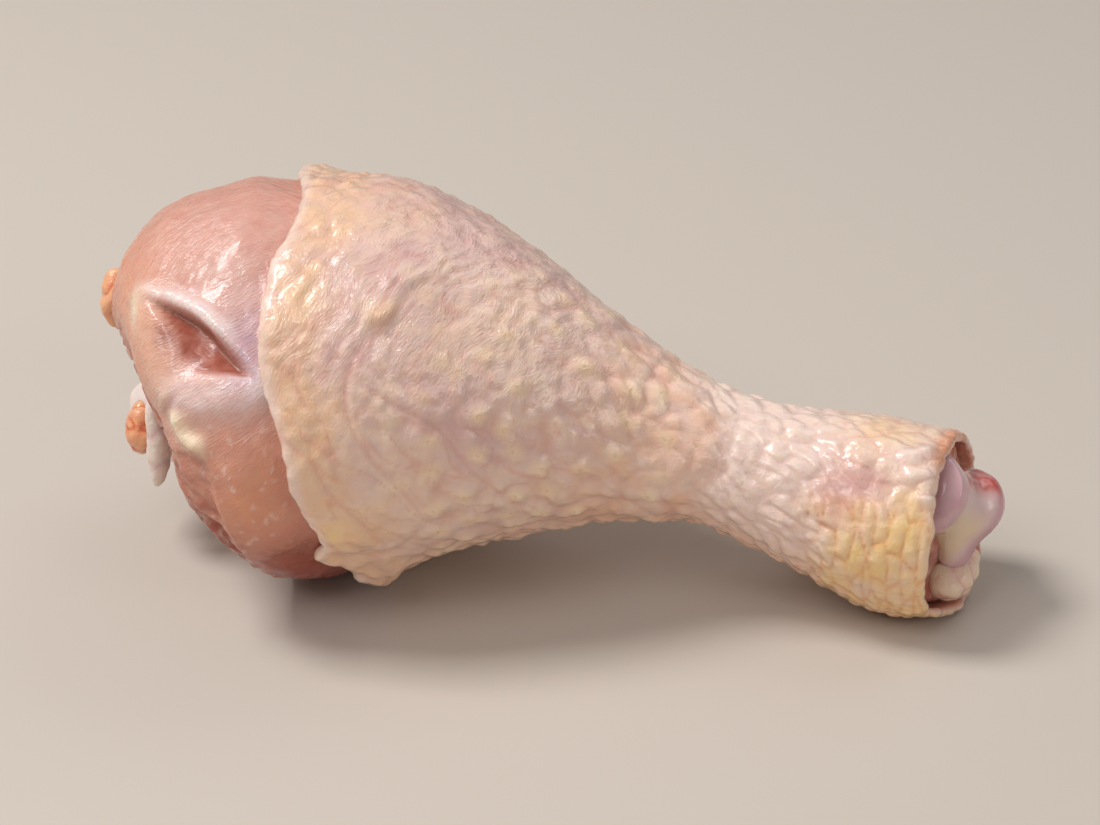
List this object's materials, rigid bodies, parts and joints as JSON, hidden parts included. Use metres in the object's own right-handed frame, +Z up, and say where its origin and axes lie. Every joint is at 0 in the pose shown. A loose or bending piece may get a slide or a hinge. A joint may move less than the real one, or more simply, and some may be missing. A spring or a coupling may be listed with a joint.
{
  "type": "raw chicken drumstick",
  "caption": "Raw chicken drumstick lying on its side: bare muscle at the knee end, pale bumpy skin over the calf and shank, open ankle with its bone knuckles.",
  "frame": {"origin": "on the table under the middle of the leg's bounding box, with the leg lying on its side", "axes": "+X along the leg from the cut knee to the ankle, +Y to the far side, +Z up"},
  "size_m": [0.135, 0.0617, 0.061],
  "materials": {
    "raw_muscle": "wet salmon-pink raw meat with fine fibres and a clear film",
    "raw_skin": "moist cream to pale pink skin with follicle bumps, wrinkles and yellow fat showing through",
    "cartilage": "wet lilac to cream joint cartilage with traces of blood",
    "tendon": "wet pearly pinkish-white tendon and ligament",
    "fat": "soft orange-cream fat with a moist surface"
  },
  "bodies": {
    "root": {"muscle": "raw_muscle", "skin": "raw_skin", "bone": "cartilage", "ankle_tendon": "tendon", "knee_ligament": "tendon", "knee_fat_upper": "fat", "knee_fat_lower": "fat"}
  },
  "joints": []
}
